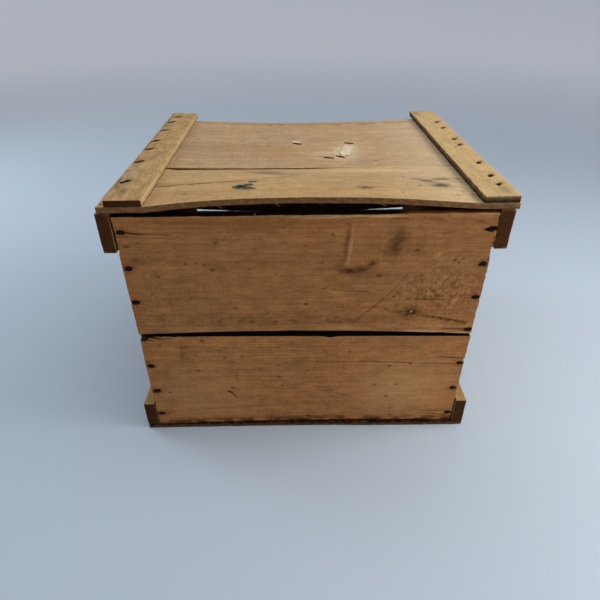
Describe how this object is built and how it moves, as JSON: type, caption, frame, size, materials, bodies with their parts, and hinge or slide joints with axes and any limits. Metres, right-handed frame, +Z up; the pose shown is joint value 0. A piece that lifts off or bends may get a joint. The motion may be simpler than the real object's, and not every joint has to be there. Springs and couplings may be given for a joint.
{
  "type": "wooden apple crate",
  "caption": "Nailed softwood crate for carrying apples, with thick ends, thin side and bottom boards, end cleats and a loose battened lid that lifts off.",
  "frame": {"origin": "centre of the base, on the surface the crate stands on", "axes": "+X to the right along the side boards, +Y from front to rear, +Z up"},
  "size_m": [0.409, 0.343, 0.3134],
  "materials": {
    "side_wood": "bare aged softwood, warm brown, dry and matt with darker grain and stains",
    "end_wood": "bare aged softwood, mid brown, rough sawn",
    "cleat_wood": "bare aged softwood, brown with dark end grain",
    "bottom_wood": "bare rough sawn softwood, reddish brown",
    "lid_wood": "bare softwood, pale straw to pinkish tan, matt",
    "lid_cleat_wood": "bare softwood, pale yellow brown with dark end grain",
    "rusty_nail": "dark brown rust",
    "staple_wire": "tarnished wire",
    "paper": "torn blank paper, matt"
  },
  "bodies": {
    "box": {"side_board_front_upper": "side_wood", "side_board_front_lower": "side_wood", "side_board_rear_upper": "side_wood", "side_board_rear_lower": "side_wood", "end_board_left_upper": "end_wood", "end_board_left_lower": "end_wood", "end_board_right_upper": "end_wood", "end_board_right_lower": "end_wood", "end_cleat_left_top": "cleat_wood", "end_cleat_left_bottom": "cleat_wood", "end_cleat_right_top": "cleat_wood", "end_cleat_right_bottom": "cleat_wood", "bottom_board_front": "bottom_wood", "bottom_board_middle": "bottom_wood", "bottom_board_rear": "bottom_wood", "side_nails_front_upper": "rusty_nail", "side_nails_front_lower": "rusty_nail", "side_nails_rear_upper": "rusty_nail", "side_nails_rear_lower": "rusty_nail", "cleat_nails_left_top": "rusty_nail", "cleat_nails_left_bottom": "rusty_nail", "cleat_nails_right_top": "rusty_nail", "cleat_nails_right_bottom": "rusty_nail", "bottom_nails_front": "rusty_nail", "bottom_nails_middle": "rusty_nail", "bottom_nails_rear": "rusty_nail"},
    "lid": {"lid_board_front": "lid_wood", "lid_board_rear": "lid_wood", "lid_cleat_left": "lid_cleat_wood", "lid_cleat_right": "lid_cleat_wood", "lid_nails_left": "rusty_nail", "lid_nails_right": "rusty_nail", "lid_staples": "staple_wire", "lid_paper_scraps": "paper"}
  },
  "joints": [
    {"name": "lid_lift", "type": "slide", "parent": "box", "child": "lid", "axis": [0, 0, 1], "range_m": [0, 0.34]}
  ]
}
